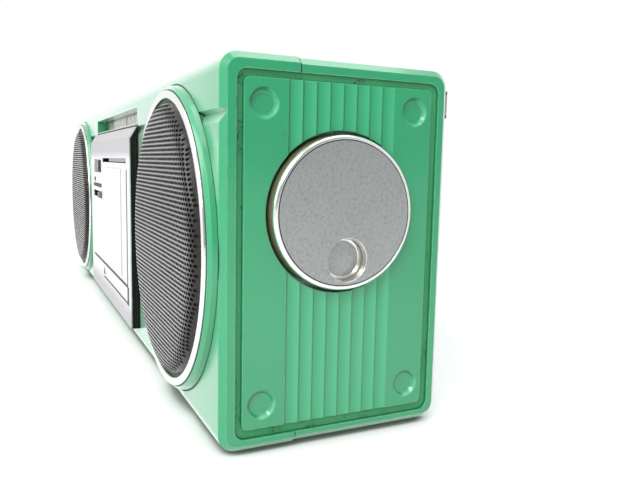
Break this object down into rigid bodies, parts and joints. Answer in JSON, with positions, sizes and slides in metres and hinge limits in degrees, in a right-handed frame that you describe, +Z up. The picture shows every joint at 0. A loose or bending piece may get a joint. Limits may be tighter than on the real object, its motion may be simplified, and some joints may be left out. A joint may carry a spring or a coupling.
{
  "type": "radio cassette player",
  "caption": "Long portable radio cassette player with round speakers, a hinged tape door, a dial window, a large end tuning knob, tape keys and a telescopic antenna.",
  "frame": {"origin": "middle of the part's box, on the surface that the feet stand on", "axes": "+X to the right seen from the front, along the cabinet; -Y out of the front; +Z up"},
  "size_m": [0.5266, 0.1218, 0.1649],
  "materials": {
    "cabinet_plastic": "moulded, fine satin grain",
    "knob_metal": "satin face with a bright bevel",
    "bright_trim": "polished plating",
    "grille_metal": "perforated sheet, dark paint",
    "panel_silver": "satin silver",
    "black_plastic": "moulded, matt",
    "steel": "zinc plated",
    "brass": "turned",
    "rubber": "matt",
    "white_plastic": "moulded",
    "key_plastic": "satin silver paint",
    "grey_plastic": "moulded",
    "clear_window": "clear",
    "dial_face": "printed scale",
    "pointer_red": "gloss",
    "speaker_black": "black paint and paper",
    "board": "coated board",
    "iron_core": "laminated"
  },
  "bodies": {
    "cabinet": {"front_shell": "cabinet_plastic", "rear_shell": "cabinet_plastic", "end_panel_right": "cabinet_plastic", "end_panel_left": "cabinet_plastic", "shaft_bush": "brass", "speaker_rings": "bright_trim", "speaker_grille_right": "grille_metal", "speaker_grille_left": "grille_metal", "speaker_drivers": "speaker_black", "fascia_frame": "black_plastic", "fascia_plate": "panel_silver", "door_pin": "steel", "deck_chassis": "steel", "motor": "steel", "drive_belt": "rubber", "key_frame": "steel", "counter_housing": "black_plastic", "windows": "clear_window", "dial_scale": "dial_face", "control_bodies": "grey_plastic", "antenna_bracket": "bright_trim", "battery_box": "black_plastic", "battery_contacts": "steel", "main_board": "board", "transformer": "iron_core", "mains_inlet": "black_plastic", "jack_panel": "black_plastic", "feet": "rubber", "screws": "steel"},
    "tuning_knob": {"tuning_knob": "knob_metal", "tuning_shaft": "steel"},
    "tuning_drum": {"tuning_drum": "white_plastic"},
    "dial_pointer": {"dial_pointer": "pointer_red"},
    "cassette_door": {"cassette_door": "panel_silver", "cassette_carrier": "black_plastic"},
    "spindle_supply": {"spindle_supply": "white_plastic"},
    "spindle_takeup": {"spindle_takeup": "white_plastic"},
    "flywheel": {"flywheel": "brass"},
    "motor_pulley": {"motor_pulley": "brass"},
    "head_bridge": {"head_bridge": "steel", "tape_heads": "steel"},
    "pinch_roller": {"pinch_roller": "rubber"},
    "key_record": {"key_record": "key_plastic"},
    "key_play": {"key_play": "key_plastic"},
    "key_rewind": {"key_rewind": "key_plastic"},
    "key_fast_forward": {"key_fast_forward": "key_plastic"},
    "key_stop_eject": {"key_stop_eject": "key_plastic"},
    "key_pause": {"key_pause": "key_plastic"},
    "counter_wheel_units": {"counter_wheel_units": "white_plastic"},
    "counter_wheel_tens": {"counter_wheel_tens": "white_plastic"},
    "counter_wheel_hundreds": {"counter_wheel_hundreds": "white_plastic"},
    "reset_button": {"reset_button": "black_plastic"},
    "front_slider": {"front_slider": "grey_plastic"},
    "volume_slider": {"volume_slider": "key_plastic"},
    "function_switch": {"function_switch": "key_plastic"},
    "antenna_turret": {"antenna_turret": "bright_trim"},
    "antenna_base": {"antenna_base": "bright_trim"},
    "antenna_mid": {"antenna_mid": "bright_trim"},
    "antenna_tip": {"antenna_tip": "bright_trim"},
    "battery_cover": {"battery_cover": "cabinet_plastic"}
  },
  "joints": [
    {"name": "tuning_turn", "type": "hinge", "parent": "cabinet", "child": "tuning_knob", "pos_m": [0.25867, 0.0023, 0.0986], "axis": [1, 0, 0], "range_deg": [-573, 573]},
    {"name": "tuning_drum_turn", "type": "hinge", "parent": "cabinet", "child": "tuning_drum", "pos_m": [0.21768, 0.0283, 0.1066], "axis": [1, 0, 0], "range_deg": [-270, 270]},
    {"name": "pointer_slide", "type": "slide", "parent": "cabinet", "child": "dial_pointer", "axis": [1, 0, 0], "range_m": [-0.0752, 0.0752]},
    {"name": "door_open", "type": "hinge", "parent": "cabinet", "child": "cassette_door", "pos_m": [0.02577, -0.0534, 0.029], "axis": [1, 0, 0], "range_deg": [0, 28]},
    {"name": "supply_spin", "type": "hinge", "parent": "cabinet", "child": "spindle_supply", "pos_m": [0.00453, -0.0347, 0.0666], "axis": [0, 1, 0], "continuous": true},
    {"name": "takeup_spin", "type": "hinge", "parent": "cabinet", "child": "spindle_takeup", "pos_m": [0.04702, -0.0347, 0.0666], "axis": [0, 1, 0], "continuous": true},
    {"name": "capstan_spin", "type": "hinge", "parent": "cabinet", "child": "flywheel", "pos_m": [0.04977, -0.0287, 0.0926], "axis": [0, 1, 0], "continuous": true},
    {"name": "motor_spin", "type": "hinge", "parent": "cabinet", "child": "motor_pulley", "pos_m": [-0.00232, -0.0247, 0.0966], "axis": [0, 1, 0], "continuous": true},
    {"name": "bridge_slide", "type": "slide", "parent": "cabinet", "child": "head_bridge", "axis": [0, 0, -1], "range_m": [0, 0.006], "stiffness_N_per_m": 80, "springref_m": -0.006},
    {"name": "pinch_spin", "type": "hinge", "parent": "head_bridge", "child": "pinch_roller", "pos_m": [0.04977, -0.0437, 0.1066], "axis": [0, 1, 0], "continuous": true},
    {"name": "key_record_press", "type": "hinge", "parent": "cabinet", "child": "key_record", "pos_m": [-0.01823, -0.0202, 0.1526], "axis": [1, 0, 0], "range_deg": [0, 10], "stiffness_Nm_per_rad": 0.3, "springref_deg": -5.73},
    {"name": "key_play_press", "type": "hinge", "parent": "cabinet", "child": "key_play", "pos_m": [-0.00072, -0.0202, 0.1526], "axis": [1, 0, 0], "range_deg": [0, 10], "stiffness_Nm_per_rad": 0.3, "springref_deg": -5.73},
    {"name": "key_rewind_press", "type": "hinge", "parent": "cabinet", "child": "key_rewind", "pos_m": [0.01678, -0.0202, 0.1526], "axis": [1, 0, 0], "range_deg": [0, 10], "stiffness_Nm_per_rad": 0.3, "springref_deg": -5.73},
    {"name": "key_fast_forward_press", "type": "hinge", "parent": "cabinet", "child": "key_fast_forward", "pos_m": [0.03427, -0.0202, 0.1526], "axis": [1, 0, 0], "range_deg": [0, 10], "stiffness_Nm_per_rad": 0.3, "springref_deg": -5.73},
    {"name": "key_stop_eject_press", "type": "hinge", "parent": "cabinet", "child": "key_stop_eject", "pos_m": [0.05178, -0.0202, 0.1526], "axis": [1, 0, 0], "range_deg": [0, 10], "stiffness_Nm_per_rad": 0.3, "springref_deg": -5.73},
    {"name": "key_pause_press", "type": "hinge", "parent": "cabinet", "child": "key_pause", "pos_m": [0.06928, -0.0202, 0.1526], "axis": [1, 0, 0], "range_deg": [0, 10], "stiffness_Nm_per_rad": 0.3, "springref_deg": -5.73},
    {"name": "hundreds_turn", "type": "hinge", "parent": "cabinet", "child": "counter_wheel_hundreds", "pos_m": [-0.07072, -0.0466, 0.1131], "axis": [1, 0, 0], "continuous": true},
    {"name": "tens_turn", "type": "hinge", "parent": "cabinet", "child": "counter_wheel_tens", "pos_m": [-0.06212, -0.0466, 0.1131], "axis": [1, 0, 0], "continuous": true},
    {"name": "units_turn", "type": "hinge", "parent": "cabinet", "child": "counter_wheel_units", "pos_m": [-0.05343, -0.0466, 0.1131], "axis": [1, 0, 0], "continuous": true},
    {"name": "reset_press", "type": "slide", "parent": "cabinet", "child": "reset_button", "axis": [0, 1, 0], "range_m": [0, 0.0025], "stiffness_N_per_m": 300, "springref_m": -0.001},
    {"name": "front_slider_slide", "type": "slide", "parent": "cabinet", "child": "front_slider", "axis": [1, 0, 0], "range_m": [-0.04, 0]},
    {"name": "volume_slide", "type": "slide", "parent": "cabinet", "child": "volume_slider", "axis": [1, 0, 0], "range_m": [-0.02, 0.02]},
    {"name": "function_slide", "type": "slide", "parent": "cabinet", "child": "function_switch", "axis": [1, 0, 0], "range_m": [-0.008, 0.008]},
    {"name": "antenna_swivel", "type": "hinge", "parent": "cabinet", "child": "antenna_turret", "pos_m": [0.24827, 0.0583, 0.1467], "axis": [0, 0, 1], "range_deg": [-180, 0]},
    {"name": "antenna_tilt", "type": "hinge", "parent": "antenna_turret", "child": "antenna_base", "pos_m": [0.23877, 0.0583, 0.1467], "axis": [0, 1, 0], "range_deg": [0, 90]},
    {"name": "antenna_mid_slide", "type": "slide", "parent": "antenna_base", "child": "antenna_mid", "axis": [-1, 0, 0], "range_m": [0, 0.125]},
    {"name": "antenna_tip_slide", "type": "slide", "parent": "antenna_mid", "child": "antenna_tip", "axis": [-1, 0, 0], "range_m": [0, 0.125]},
    {"name": "battery_cover_open", "type": "hinge", "parent": "cabinet", "child": "battery_cover", "pos_m": [-0.00232, 0.0536, 0.0195], "axis": [-1, 0, 0], "range_deg": [0, 80]}
  ],
  "couplings": [
    {"joint": "pointer_slide", "follows": "tuning_turn", "m_per_rad": 0.0075},
    {"joint": "tuning_drum_turn", "follows": "tuning_turn", "ratio": 0.46875},
    {"joint": "key_play_press", "follows": "bridge_slide", "rad_per_m": 29.08},
    {"joint": "motor_spin", "follows": "capstan_spin", "ratio": 5},
    {"joint": "units_turn", "follows": "takeup_spin", "ratio": -0.5},
    {"joint": "tens_turn", "follows": "takeup_spin", "ratio": -0.05},
    {"joint": "hundreds_turn", "follows": "takeup_spin", "ratio": -0.005}
  ]
}
